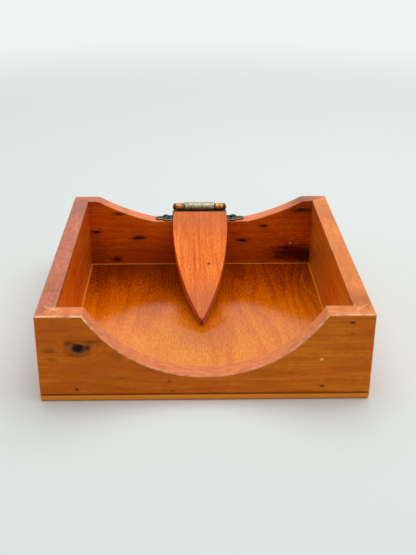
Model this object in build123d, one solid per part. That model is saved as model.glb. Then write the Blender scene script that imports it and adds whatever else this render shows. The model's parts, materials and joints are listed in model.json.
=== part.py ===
from build123d import *
import os
from math import cos, degrees, radians, sin, sqrt, tan

# Napkin holder: an open square tray with scooped front and back walls, and a pointed
# wooden leaf, hinged on the back wall, that holds the napkins down by its own weight.
# Millimetres. Origin at the centre of the underside, +Z up, -Y to the front, +X right.

# --- tray ---
tray_width = 190.0
tray_depth = 196.0
tray_height = 55.0
wall_thickness = 11.5
bottom_thickness = 4.2
outer_round = 1.6  # round-over on the tray's outside edges

# --- scoops: arcs cut down from the walls' top edges ---
front_scoop_radius = 79.0
front_scoop_depth = 39.0
back_scoop_radius = 155.0
back_scoop_depth = 20.0  # of the whole arc, whose lowest part the hinge's seat cuts off
seat_depth = 16.0  # flat seat of the hinge, below the back wall's top
seat_margin = 1.5  # seat left beyond each end of the hinge plate

# --- hinge ---
hinge_offset = -0.8  # the hinge and leaf sit this far right of centre (minus is left)
plate_thickness = 1.2
plate_depth = 11.0
plate_body_length = 41.2
spade_length = 12.9  # from the plate's body to the point of each end
plate_inset = 0.5  # plate's rear edge, in front of the wall's back face
arm_thickness = 1.2
arm_bend = 1.5  # outer radius of the bend from plate to arm
pin_radius = 1.6
running_gap = 0.05  # radial, centre knuckle on the pin
press_gap = 0.02  # radial, pin in the fixed knuckles and end tips
centre_knuckle_radius = 3.6
centre_knuckle_length = 22.6
end_knuckle_radius = 3.0
end_knuckle_length = 6.1
knuckle_gap = 0.6  # between knuckles, along the pin
tip_length = 2.3
tip_socket = 1.2  # the pin's reach into each end tip
tip_gap = 0.15  # between an end tip and its knuckle
strap_thickness = 1.1
strap_reach = 33.0  # from the pin's centre to the strap's end
strap_corner = 2.0  # radius of the strap's two free corners
strap_over_plate = 0.85  # height of the strap above the plate's front edge

# --- pressure leaf ---
leaf_length = 107.0
leaf_width = 39.6
leaf_thickness = 8.5
leaf_widest = 10.0  # from the back end to the widest place
leaf_from_pin = 13.8  # from the pin's centre to the leaf's back end
leaf_tip_height = 4.7  # height of the pointed front edge over the tray's floor
leaf_rest_gap = 0.25  # between the leaf's foot and the floor
strap_let_in = 0.25  # the strap lies this far inside the leaf's underside
recess_gap = 0.2  # round the strap in its recess

# --- screws and brads ---
frame_screw_head = 2.6
frame_screw_dome = 1.2
frame_screw_shank = 1.3
frame_screw_length = 12.0
frame_screw_spread = 51.0  # between the two screws
leaf_screw_head = 2.5
leaf_screw_shank = 1.3
leaf_screw_length = 6.0
leaf_screw_spread = 12.0
leaf_screw_from_pin = 24.0
screw_fit = 0.05  # radial, screw in its hole
screw_bottom_gap = 0.5  # hole left beyond a screw's point
slot_width = 0.7
slot_depth = 0.6
left_slot_angle = 65.0
right_slot_angle = 20.0
brad_radius = 0.6
brad_head_radius = 1.0
brad_head_thickness = 0.5
brad_set = 0.3  # how far a brad's head is set below the wood
brad_fit = 0.02
bottom_brad_length = 12.5
bottom_brad_pitch = 68.0  # three brads a side
corner_brad_length = 24.0
corner_brad_low = 20.0  # height of the lower brad in each corner
corner_brad_high = 44.0

# --- worked out from the sizes above ---
seat_height = tray_height - seat_depth
pin_y = tray_depth / 2
plate_rear = tray_depth / 2 - plate_inset
plate_front = plate_rear - plate_depth
plate_top = seat_height + plate_thickness
plate_middle = plate_rear - plate_depth / 2
plate_half_length = plate_body_length / 2 + spade_length
centre_end = centre_knuckle_length / 2
end_knuckle_inner = centre_end + knuckle_gap
end_knuckle_outer = end_knuckle_inner + end_knuckle_length
tip_inner = end_knuckle_outer + tip_gap
leaf_under = -strap_thickness / 2 - strap_let_in  # the underside, below the pin's centre line
leaf_top = leaf_under + leaf_thickness
leaf_rest_height = bottom_thickness + leaf_tip_height


def pin_height_for_tip(slope):
    """Height of the pin that brings the leaf's point to its place over the floor."""
    return leaf_rest_height + (leaf_from_pin + leaf_length) * sin(slope) - leaf_top * cos(slope)


def pin_height_for_strap(slope):
    """Height of the pin that carries the strap clear of the plate's front edge."""
    run = pin_y - plate_front
    return plate_top + strap_over_plate + run * tan(slope) + strap_thickness / 2 / cos(slope)


def rest_slope():
    """The slope, in radians, at which both of these heights are the same."""
    low = radians(2)
    high = radians(60)
    for _ in range(60):
        middle = (low + high) / 2
        if pin_height_for_tip(middle) < pin_height_for_strap(middle):
            low = middle
        else:
            high = middle
    return low


leaf_slope = rest_slope()
pin_z = pin_height_for_tip(leaf_slope)
leaf_place = Location((hinge_offset, pin_y, pin_z), (degrees(leaf_slope), 0, 0))
on_base = (Align.CENTER, Align.CENTER, Align.MIN)
overcut = 1.0  # how far a cutting shape runs past what it cuts


def along_x(radius, start, end):
    """A round bar on the X axis."""
    bar = extrude(Plane.YZ * Circle(radius), amount=end - start)
    return Pos(start, 0, 0) * bar


def dome_arc(radius, height):
    """An arc from a dome's top to its rim, in X and Z."""
    side = cos(radians(45))
    return ThreePointArc((0, height), (radius * side, height * side), (radius, 0))


# --- tray ---
def tray_block():
    """The tray's outside shape, with its round-over on every edge."""
    block = Box(tray_width, tray_depth, tray_height, align=on_base)
    return fillet(block.edges(), outer_round)


def mitred_prism(length, across):
    """A wall's room, mitred at both ends, along the front of a tray of that width and depth."""
    outline = Polyline(
        (-length / 2, -across / 2),
        (length / 2, -across / 2),
        (length / 2 - wall_thickness, -across / 2 + wall_thickness),
        (-length / 2 + wall_thickness, -across / 2 + wall_thickness),
        close=True,
    )
    prism = extrude(make_face(outline), amount=tray_height - bottom_thickness)
    return Pos(0, 0, bottom_thickness) * prism


def scoop(radius, depth):
    """A round bar along Y that cuts an arc of that depth from a wall's top."""
    bar = extrude(Plane.XZ * Circle(radius), amount=wall_thickness + overcut, both=True)
    return Pos(0, 0, tray_height - depth + radius) * bar


def bottom_brad_places():
    """Three along the middle of each wall: x, y."""
    side = tray_width / 2 - wall_thickness / 2
    end = tray_depth / 2 - wall_thickness / 2
    places = []
    for step in (-1, 0, 1):
        places.append((step * bottom_brad_pitch, -end))
        places.append((step * bottom_brad_pitch, end))
        places.append((-side, step * bottom_brad_pitch))
        places.append((side, step * bottom_brad_pitch))
    return places


def corner_brad_places():
    """Two a corner, driven in from the left and right sides: side, y, z."""
    end = tray_depth / 2 - wall_thickness / 2
    places = []
    for side in (-1, 1):
        for y in (-end, end):
            for z in (corner_brad_low, corner_brad_high):
                places.append((side, y, z))
    return places


def brad(length, extra=0.0):
    """A headed brad that points up from its head's face at z 0; extra makes its hole."""
    shank = Cylinder(brad_radius + extra, length, align=on_base)
    head = Cylinder(brad_head_radius + extra, brad_head_thickness + extra, align=on_base)
    return shank + head


def bottom_brad(place, extra=0.0):
    return Pos(place[0], place[1], brad_set) * brad(bottom_brad_length, extra)


def corner_brad(place, extra=0.0):
    side, y, z = place
    turned = Rot(0, -90 * side, 0) * brad(corner_brad_length, extra)
    return Pos(side * (tray_width / 2 - brad_set), y, z) * turned


def brad_holes():
    """Every brad's hole, with the well that its head is set down in."""
    holes = []
    for place in bottom_brad_places():
        well = Cylinder(brad_head_radius + brad_fit, brad_set, align=on_base)
        holes.append(bottom_brad(place, brad_fit))
        holes.append(Pos(place[0], place[1], 0) * well)
    for place in corner_brad_places():
        well = Cylinder(brad_head_radius + brad_fit, brad_set, align=on_base)
        turned = Rot(0, -90 * place[0], 0) * well
        holes.append(corner_brad(place, brad_fit))
        holes.append(Pos(place[0] * tray_width / 2, place[1], place[2]) * turned)
    return holes


def front_wall(holes):
    wall = tray_block() & mitred_prism(tray_width, tray_depth)
    cut = Pos(0, -tray_depth / 2, 0) * scoop(front_scoop_radius, front_scoop_depth)
    return wall - cut - holes


def back_wall(holes):
    wall = tray_block() & (Rot(0, 0, 180) * mitred_prism(tray_width, tray_depth))
    arc = Pos(0, tray_depth / 2, 0) * scoop(back_scoop_radius, back_scoop_depth)
    cut_depth = 2 * (wall_thickness + overcut)
    above_seat = Box(tray_width, cut_depth, tray_height, align=on_base)
    arc = arc & (Pos(0, tray_depth / 2, seat_height) * above_seat)
    seat_length = 2 * (plate_half_length + seat_margin)
    seat = Box(seat_length, cut_depth, tray_height, align=on_base)
    seat = Pos(hinge_offset, tray_depth / 2, seat_height) * seat
    holes = holes + [frame_screw_hole(side) for side in (-1, 1)]
    return wall - arc - seat - holes


def side_wall(side, holes):
    turned = Rot(0, 0, 90 * side) * mitred_prism(tray_depth, tray_width)
    return (tray_block() & turned) - holes


def bottom_board(holes):
    slab = Box(tray_width, tray_depth, bottom_thickness, align=on_base)
    return (tray_block() & slab) - holes


# --- hinge ---
def spade_half(side):
    """One long edge of the plate, from the left point to the right one."""
    half = plate_depth / 2 * side
    # places along a spade end, and the plate's half depth there, as shares of its size
    wave = (
        ((0.0, 1.0), (0.09, 0.86), (0.19, 0.91)),
        ((0.19, 0.91), (0.39, 0.98), (0.55, 0.70)),
        ((0.55, 0.70), (0.63, 0.55), (0.72, 0.52)),
        ((0.72, 0.52), (0.89, 0.42), (1.0, 0.0)),
    )
    body = plate_body_length / 2
    edge = Line((-body, half), (body, half))
    for arc in wave:
        for way in (-1, 1):
            points = [(way * (body + spade_length * along), half * share) for along, share in arc]
            edge = edge + ThreePointArc(*points)
    return edge


def frame_screw_place(side):
    """Where a frame screw's head sits on the plate."""
    return Pos(hinge_offset + side * frame_screw_spread / 2, plate_middle, plate_top)


def frame_screw_hole(side):
    reach = frame_screw_length + screw_bottom_gap
    hole = Cylinder(frame_screw_shank + screw_fit, 2 * reach)
    return frame_screw_place(side) * hole


def frame_arm():
    """Section of an arm that rises from the plate's rear to the pin, in Y and Z."""
    root = plate_middle
    rear = pin_y + arm_thickness / 2
    outline = Polyline(
        (root, seat_height),
        (rear, seat_height),
        (rear, pin_z),
        (rear - arm_thickness, pin_z),
        (rear - arm_thickness, plate_top),
        (root, plate_top),
        close=True,
    )
    section = make_face(outline)
    heel = section.vertices().sort_by(Axis.X)[-2:].sort_by(Axis.Y)[0]
    return fillet(heel, arm_bend)


def hinge_frame_wing():
    """The fixed wing: a wavy spade-ended plate, with an arm and a knuckle at each side."""
    outline = make_face(spade_half(-1) + spade_half(1))
    plate = extrude(outline, amount=plate_thickness)
    wing = Pos(0, plate_middle, seat_height) * plate
    for side in (-1, 1):
        start = min(side * end_knuckle_inner, side * end_knuckle_outer)
        arm = extrude(Plane.YZ * frame_arm(), amount=end_knuckle_length)
        wing = wing + Pos(start, 0, 0) * arm
        knuckle = along_x(end_knuckle_radius, start, start + end_knuckle_length)
        wing = wing + Pos(0, pin_y, pin_z) * knuckle
    bore = along_x(pin_radius + press_gap, -tip_inner - overcut, tip_inner + overcut)
    wing = wing - Pos(0, pin_y, pin_z) * bore
    wing = Pos(hinge_offset, 0, 0) * wing
    return wing - [frame_screw_hole(side) for side in (-1, 1)]


def hinge_leaf_wing():
    """The moving wing: the centre knuckle and a strap, along the leaf from the pin."""
    strap = Box(centre_knuckle_length, strap_reach, strap_thickness)
    wing = Pos(0, -strap_reach / 2, 0) * strap
    wing = fillet(wing.edges().filter_by(Axis.Z).sort_by(Axis.Y)[:2], strap_corner)
    wing = wing + along_x(centre_knuckle_radius, -centre_end, centre_end)
    bore_end = centre_end + overcut
    wing = wing - along_x(pin_radius + running_gap, -bore_end, bore_end)
    for side in (-1, 1):
        wing = wing - leaf_screw_local(side, screw_fit)
    return leaf_place * wing


def hinge_pin():
    reach = tip_inner + tip_socket
    return Pos(hinge_offset, pin_y, pin_z) * along_x(pin_radius, -reach, reach)


def pin_tip(side):
    """A domed tip on the pin's end."""
    radius = end_knuckle_radius
    base = Polyline((radius, 0), (0, 0), (0, tip_length))
    section = make_face(base + dome_arc(radius, tip_length))
    tip = revolve(Plane.XZ * section, Axis.Z)
    socket = Cylinder(pin_radius + press_gap, tip_socket + press_gap, align=on_base)
    turned = Rot(0, 90 * side, 0) * (tip - socket)
    return Pos(hinge_offset + side * tip_inner, pin_y, pin_z) * turned


# --- leaf ---
def leaf_side_radius():
    """Radius of the arc from the leaf's widest place to its point."""
    run = leaf_length - leaf_widest
    half = leaf_width / 2
    return (run * run + half * half) / (2 * half)


def leaf_outline():
    """The pointed leaf, seen from above, with its back end towards the pin."""
    radius = leaf_side_radius()
    half = leaf_width / 2
    back = -leaf_from_pin
    widest = back - leaf_widest
    end_half = half - radius + sqrt(radius * radius - leaf_widest * leaf_widest)
    point = back - leaf_length
    middle = (widest + point) / 2
    middle_half = half - radius + sqrt(radius * radius - (middle - widest) ** 2)
    edge = Line((-end_half, back), (end_half, back))
    for side in (-1, 1):
        edge = edge + ThreePointArc(
            (side * end_half, back), (side * middle_half, middle), (0, point)
        )
    return make_face(edge)


def leaf_screw_local(side, extra=0.0):
    """A countersunk screw up through the strap, in the leaf's own frame."""
    x = side * leaf_screw_spread / 2
    face = -strap_thickness / 2
    cone = Cone(leaf_screw_head + extra, leaf_screw_shank + extra, strap_thickness, align=on_base)
    past = screw_bottom_gap if extra else 0.0
    shank = Cylinder(leaf_screw_shank + extra, leaf_screw_length + past, align=on_base)
    return Pos(x, -leaf_screw_from_pin, face) * (cone + shank)


def pressure_leaf():
    """The pointed leaf, with its foot cut level with the floor and a recess for the strap."""
    plank = Pos(0, 0, leaf_under) * extrude(leaf_outline(), amount=leaf_thickness)
    recess = Box(
        centre_knuckle_length + 2 * recess_gap,
        strap_reach + recess_gap,
        strap_thickness + strap_let_in,
        align=(Align.CENTER, Align.MAX, Align.MIN),
    )
    plank = plank - Pos(0, 0, leaf_under) * recess
    for side in (-1, 1):
        plank = plank - leaf_screw_local(side, screw_fit)
    leaf = leaf_place * plank
    floor = Box(tray_width, tray_depth, tray_height, align=(Align.CENTER, Align.CENTER, Align.MAX))
    return leaf - Pos(0, 0, bottom_thickness + leaf_rest_gap) * floor


# --- screws ---
def frame_screw(side, slot_angle):
    """A round-headed wood screw with a pointed end."""
    rest = Polyline(
        (frame_screw_head, 0),
        (frame_screw_shank, 0),
        (frame_screw_shank, -frame_screw_length + 2 * frame_screw_shank),
        (0, -frame_screw_length),
        (0, frame_screw_dome),
    )
    section = make_face(dome_arc(frame_screw_head, frame_screw_dome) + rest)
    screw = revolve(Plane.XZ * section, Axis.Z)
    slot = Box(3 * frame_screw_head, slot_width, 2 * slot_depth)
    screw = screw - Pos(0, 0, frame_screw_dome) * (Rot(0, 0, slot_angle) * slot)
    return frame_screw_place(side) * screw


def leaf_screw(side):
    """A countersunk screw, slotted, that holds the strap to the leaf."""
    x = side * leaf_screw_spread / 2
    slot = Box(3 * leaf_screw_head, slot_width, slot_depth)
    slot = Pos(x, -leaf_screw_from_pin, -strap_thickness / 2) * slot
    return leaf_place * (leaf_screw_local(side) - slot)


# --- write the pieces ---
def save(name, shapes):
    solids = []
    for shape in shapes:
        solids.extend(shape.solids())
    if len(solids) == 1:
        export_step(solids[0], f"parts/{name}.step")
    else:
        export_step(Compound(solids), f"parts/{name}.step")
    print(name, len(solids))


os.makedirs("parts", exist_ok=True)
holes = brad_holes()
save("front_wall", [front_wall(holes)])
save("back_wall", [back_wall(holes)])
save("left_wall", [side_wall(-1, holes)])
save("right_wall", [side_wall(1, holes)])
save("bottom_board", [bottom_board(holes)])
save("pressure_leaf", [pressure_leaf()])
save("hinge_frame_wing", [hinge_frame_wing()])
save("hinge_leaf_wing", [hinge_leaf_wing()])
save("hinge_pin", [hinge_pin()])
save("pin_tip_left", [pin_tip(-1)])
save("pin_tip_right", [pin_tip(1)])
save("frame_screw_left", [frame_screw(-1, left_slot_angle)])
save("frame_screw_right", [frame_screw(1, right_slot_angle)])
save("leaf_screw_left", [leaf_screw(-1)])
save("leaf_screw_right", [leaf_screw(1)])
save("corner_brads", [corner_brad(place) for place in corner_brad_places()])
save("bottom_brads", [bottom_brad(place) for place in bottom_brad_places()])
print("pin at y", round(pin_y, 4), "z", round(pin_z, 4), "slope", round(degrees(leaf_slope), 3))
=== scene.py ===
import json
from math import acos, asin, atan2, hypot, pi, radians, sqrt

import bmesh
import bpy
from mathutils import Matrix, Vector


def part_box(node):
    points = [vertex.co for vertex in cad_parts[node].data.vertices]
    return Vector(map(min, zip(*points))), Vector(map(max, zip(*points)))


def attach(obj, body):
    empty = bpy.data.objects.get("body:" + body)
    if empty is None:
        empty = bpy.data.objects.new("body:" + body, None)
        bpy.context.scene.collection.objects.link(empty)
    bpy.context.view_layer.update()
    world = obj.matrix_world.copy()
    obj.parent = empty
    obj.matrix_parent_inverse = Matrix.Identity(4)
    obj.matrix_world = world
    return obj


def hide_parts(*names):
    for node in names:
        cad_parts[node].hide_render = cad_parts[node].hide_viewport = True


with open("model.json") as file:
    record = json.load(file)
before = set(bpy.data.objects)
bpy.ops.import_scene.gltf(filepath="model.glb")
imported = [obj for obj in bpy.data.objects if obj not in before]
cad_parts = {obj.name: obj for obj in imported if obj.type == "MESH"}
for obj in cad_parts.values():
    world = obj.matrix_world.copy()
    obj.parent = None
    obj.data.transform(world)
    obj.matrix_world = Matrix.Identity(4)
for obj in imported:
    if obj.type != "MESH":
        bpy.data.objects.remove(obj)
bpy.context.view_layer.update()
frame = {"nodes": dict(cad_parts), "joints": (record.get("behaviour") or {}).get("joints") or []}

# Shapes are built in millimetres, and finishPiece turns them to metres.
millimetre = 0.001
tiny = 0.001  # what counts as touching, in millimetres
alongX = Vector((1, 0, 0))
upward = Vector((0, 0, 1))
pin = Vector(frame["joints"][0]["pos_m"]) / millimetre
boardLow, boardHigh = (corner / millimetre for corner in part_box("bottom_board"))
frontLow, frontHigh = (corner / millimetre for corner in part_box("front_wall"))
leafLow, leafHigh = (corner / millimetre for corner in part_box("pressure_leaf"))

tray = {
    "width": boardHigh.x - boardLow.x,
    "depth": boardHigh.y - boardLow.y,
    "top": frontHigh.z,
    "floor": boardHigh.z,
    "wall": frontHigh.y - frontLow.y,
    "outerRound": 1.6,  # outside corners
    "topRound": 0.8,  # the outer edge of the tops and scoops
    "softEdge": 0.5,
    "seamEdge": 0.35,  # where the walls meet the bottom board
    "handled": 9.0,  # how far down the edges are worn most
    "scoopWear": 0.3,  # share of that wear further down
    # The next two pick the faces that get the tops' painted sheen.
    "rimTilt": 0.2,  # a face that looks up at least this much is part of the top
    "rimAbove": 5.0,  # and lies this far over the tray's floor
    "bradHead": 1.05,
    "bradHole": 0.9,
    "bradSides": 16,
    "cornerBrads": (20.0, 44.0),  # heights
    "bottomBrads": (-68.0, 0.0, 68.0),  # along each wall, from its middle
}
width, depth = tray["width"], tray["depth"]
bradX, bradY = (size / 2 - tray["wall"] / 2 for size in (width, depth))
smoothAngle = 50  # degrees: an edge that bends more stays sharp
noiseLow, noiseHigh = 0.3, 0.7  # most of a noise lies between these


# A hex colour as linear values.
def hexColour(text):
    parts = [int(text[i : i + 2], 16) / 255 for i in (1, 3, 5)]
    return [c / 12.92 if c <= 0.04045 else ((c + 0.055) / 1.055) ** 2.4 for c in parts] + [1.0]


# Add a node with its settings, and link or set its inputs.
def addNode(tree, kind, inputs=None, **settings):
    node = tree.nodes.new(kind)
    for name, value in settings.items():
        setattr(node, name, value)
    for name, value in (inputs or {}).items():
        if isinstance(value, bpy.types.Node):
            value = value.outputs[0]
        if isinstance(value, bpy.types.NodeSocket):
            tree.links.new(value, node.inputs[name])
        else:
            node.inputs[name].default_value = value
    return node


def newMaterial(name):
    material = bpy.data.materials.new(name)
    material.use_nodes = True
    tree = material.node_tree
    return material, tree, tree.nodes["Principled BSDF"]


# Lay each paint over the colour, where its mask says.
def layPaints(tree, colour, layers):
    for mask, paint in layers:
        mixed = addNode(tree, "ShaderNodeMix", {0: mask, 6: colour, 7: paint}, data_type="RGBA")
        colour = mixed.outputs[2]
    return colour


# Noises stretched along the grain.
def grainNoises(tree, grain, sizes):
    noises = {}
    for part, (along, across, detail) in sizes.items():
        shrink = (1 / along, 1 / across, 1 / across)
        squeezed = addNode(tree, "ShaderNodeVectorMath", {0: grain, 1: shrink}, operation="MULTIPLY")
        noise = {"Vector": squeezed, "Scale": 1.0, "Detail": detail, "Roughness": 0.6}
        noises[part] = addNode(tree, "ShaderNodeTexNoise", noise)
    return noises


# How far out from a spot each place lies, in the spot's half sizes.
def spotReach(tree, grain, looks, centre, sizeX, sizeZ):
    away = addNode(tree, "ShaderNodeVectorMath", {0: grain, 1: centre}, operation="SUBTRACT")
    shrink = (1 / sizeX, 1 / sizeZ, 0) if looks["flat"] else (1 / sizeX, 0, 1 / sizeZ)
    away = addNode(tree, "ShaderNodeVectorMath", {0: away, 1: shrink}, operation="MULTIPLY")
    return addNode(tree, "ShaderNodeVectorMath", {0: away}, operation="LENGTH").outputs["Value"]


# The same reach with a ragged edge.
def raggedReach(tree, noises, looks, away):
    wobble = addNode(tree, "ShaderNodeMath", {0: noises["fleck"], 1: 0.5}, operation="SUBTRACT")
    ragged = {0: wobble, 1: looks["ragged"], 2: away}
    return addNode(tree, "ShaderNodeMath", ragged, operation="MULTIPLY_ADD")


# The rings that a spot is painted with: how far out each is full and ends, its colour and its strength.
def spotRings(looks, dark):
    if dark > looks["bigKnot"]:
        return looks["bigKnotRings"]
    if dark > looks["smallKnot"]:
        near, far, amount = looks["smallKnotRim"]
        heart = (*looks["smallKnotHeart"], looks["knotHeart"], dark)
        return [(near, far, looks["knotRimAndShade"], amount), heart]
    return [(*looks["softRing"], looks["knotRimAndShade"], dark)]


# Every stain and knot on a board, and the painted shade and reflection on the floor, as a reach and its
# rings, and how each big knot pushes the growth rings.
def boardSpots(tree, grain, noises, looks):
    spots, pushes = [], []
    for x, y, z, sizeX, sizeZ, text, strength in looks["stainsAndReflections"]:
        away = spotReach(tree, grain, looks, (x, y, z), sizeX, sizeZ)
        spots.append((raggedReach(tree, noises, looks, away), [(*looks["softRing"], text, strength)]))
    for x, y, z, sizeX, sizeZ, push, dark in looks["spots"]:
        away = spotReach(tree, grain, looks, (x, y, z), sizeX, sizeZ)
        spots.append((raggedReach(tree, noises, looks, away), spotRings(looks, dark)))
        if push:
            pushes.append((away, push))
    return spots, pushes


# Growth rings: long ellipsoids round the tree's heart, from 0 in early wood to 1 in late wood.
def growthRings(tree, grain, noises, looks, pushes):
    fromHeart = addNode(tree, "ShaderNodeVectorMath", {0: grain, 1: looks["heart"]}, operation="SUBTRACT")
    stretch = (looks["taper"], 1, 1)
    fromHeart = addNode(tree, "ShaderNodeVectorMath", {0: fromHeart, 1: stretch}, operation="MULTIPLY")
    radius = addNode(tree, "ShaderNodeVectorMath", {0: fromHeart}, operation="LENGTH").outputs["Value"]
    for part in ("warp", "ripple"):
        pushed = {0: noises[part], 1: looks[part], 2: radius}
        radius = addNode(tree, "ShaderNodeMath", pushed, operation="MULTIPLY_ADD")
    near, far = looks["knotPush"]
    for away, push in pushes:
        bulge = addNode(
            tree, "ShaderNodeMapRange", {0: away, 1: near, 2: far, 3: push, 4: 0.0},
            interpolation_type="SMOOTHERSTEP",
        )
        radius = addNode(tree, "ShaderNodeMath", {0: radius, 1: bulge}, operation="ADD")
    ring = addNode(tree, "ShaderNodeMath", {0: radius, 1: looks["spacing"]}, operation="DIVIDE")
    ring = addNode(tree, "ShaderNodeMath", {0: ring}, operation="FRACT")
    start, full, end = looks["lateWood"]
    rise = addNode(tree, "ShaderNodeMapRange", {0: ring, 1: start, 2: full}, interpolation_type="SMOOTHSTEP")
    fall = addNode(
        tree, "ShaderNodeMapRange", {0: ring, 1: end, 2: 1.0, 3: 1.0, 4: 0.0},
        interpolation_type="SMOOTHSTEP",
    )
    return addNode(tree, "ShaderNodeMath", {0: rise, 1: fall}, operation="MULTIPLY")


# The wood's tone from 0, darkest, to 1, palest.
def woodTone(tree, grain, noises, looks, late):
    tone = {0: late, 1: -looks["ringDepth"], 2: looks["tone"]}
    tone = addNode(tree, "ShaderNodeMath", tone, operation="MULTIPLY_ADD")
    along = addNode(tree, "ShaderNodeSeparateXYZ", {0: grain})
    start, end, gain = looks["shade"]
    shade = addNode(
        tree, "ShaderNodeMapRange", {0: along, 1: start, 2: end, 3: 0.0, 4: gain},
        interpolation_type="SMOOTHSTEP",
    )
    tone = addNode(tree, "ShaderNodeMath", {0: tone, 1: shade}, operation="ADD")
    for part in ("blotch", "streak", "fibre", "fleck"):
        centred = addNode(tree, "ShaderNodeMath", {0: noises[part], 1: 0.5}, operation="SUBTRACT")
        shifted = {0: centred, 1: looks[part], 2: tone}
        tone = addNode(tree, "ShaderNodeMath", shifted, operation="MULTIPLY_ADD")
    return tone


# The tops: a painted sheen, paler and pinker on the faces that look up near the top, mottled as their
# varnish is.
def topSheenLayer(tree, noises, looks):
    top = addNode(tree, "ShaderNodeAttribute", attribute_name="rim").outputs["Fac"]
    mask = addNode(tree, "ShaderNodeMath", {0: top, 1: looks["topAmount"]}, operation="MULTIPLY")
    least, most = looks["topMottle"]
    mottle = {0: noises["wear"], 1: noiseLow, 2: noiseHigh, 3: least, 4: most}
    mottle = addNode(tree, "ShaderNodeMapRange", mottle)
    tint = hexColour(looks["topSheenTint"])[:3]
    tint = addNode(tree, "ShaderNodeVectorMath", {0: tint, "Scale": mottle}, operation="SCALE")
    return mask, tint


def spotLayers(tree, spots):
    layers = []
    for away, rings in spots:
        for near, far, text, amount in rings:
            mask = addNode(
                tree, "ShaderNodeMapRange", {0: away, 1: near, 2: far, 3: amount, 4: 0.0},
                interpolation_type="SMOOTHSTEP",
            )
            layers.append((mask, hexColour(text)))
    return layers


# Bands that lie the same way on both sides of the middle: glue lines, the board's rim, bands of tone, and
# painted shade.
def bandLayers(tree, grain, bands):
    axes = addNode(tree, "ShaderNodeSeparateXYZ", {0: grain})
    layers = []
    for axis, start, end, text, amount in bands:
        reach = addNode(tree, "ShaderNodeMath", {0: axes.outputs[axis]}, operation="ABSOLUTE")
        mask = addNode(
            tree, "ShaderNodeMapRange", {0: reach, 1: start, 2: end, 3: 0.0, 4: amount},
            interpolation_type="SMOOTHSTEP",
        )
        layers.append((mask, hexColour(text)))
    return layers


# Scratches through the stain, each a straight stroke between two places on the tray.
def scratchLayers(tree, place, noises, looks):
    inTray = {"Vector": place, "Scale": (millimetre,) * 3}
    inTray = addNode(tree, "ShaderNodeMapping", inTray, vector_type="TEXTURE")
    core, edge, amount = looks["scratch"]
    layers = []
    for start, end in looks["scratches"]:
        start, stroke = Vector(start), Vector(end) - Vector(start)
        away = addNode(tree, "ShaderNodeVectorMath", {0: inTray, 1: start}, operation="SUBTRACT")
        share = stroke / stroke.length_squared
        share = addNode(tree, "ShaderNodeVectorMath", {0: away, 1: share}, operation="DOT_PRODUCT")
        share = addNode(tree, "ShaderNodeMapRange", {0: share.outputs["Value"]})
        along = addNode(tree, "ShaderNodeVectorMath", {0: stroke, "Scale": share}, operation="SCALE")
        away = addNode(tree, "ShaderNodeVectorMath", {0: away, 1: along}, operation="SUBTRACT")
        away = addNode(tree, "ShaderNodeVectorMath", {0: away}, operation="LENGTH").outputs["Value"]
        ragged = {0: noises["fleck"], 1: looks["scratchRagged"], 2: away}
        away = addNode(tree, "ShaderNodeMath", ragged, operation="MULTIPLY_ADD")
        mask = addNode(
            tree, "ShaderNodeMapRange", {0: away, 1: core, 2: edge, 3: amount, 4: 0.0},
            interpolation_type="SMOOTHSTEP",
        )
        layers.append((mask, hexColour(looks["scratchColour"])))
    return layers


# Paler wood on the worn edges, and dirt in the seams.
def wearLayers(tree, noises, looks):
    kinds = [
        ("wearAndPaintedLight", looks["wornColour"], looks["wear"] * looks["leastWear"], looks["wear"]),
        ("grime", looks["seamColour"], looks["grime"], looks["grime"]),
    ]
    start, full = looks["wornPatches"]
    layers = []
    for layer, text, least, most in kinds:
        marked = addNode(tree, "ShaderNodeAttribute", attribute_name=layer).outputs["Fac"]
        broken = addNode(
            tree, "ShaderNodeMapRange", {0: noises["wear"], 1: start, 2: full, 3: least, 4: most},
            interpolation_type="SMOOTHSTEP",
        )
        mask = addNode(tree, "ShaderNodeMath", {0: marked, 1: broken}, operation="MULTIPLY")
        layers.append((mask, hexColour(text)))
    return layers


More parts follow.
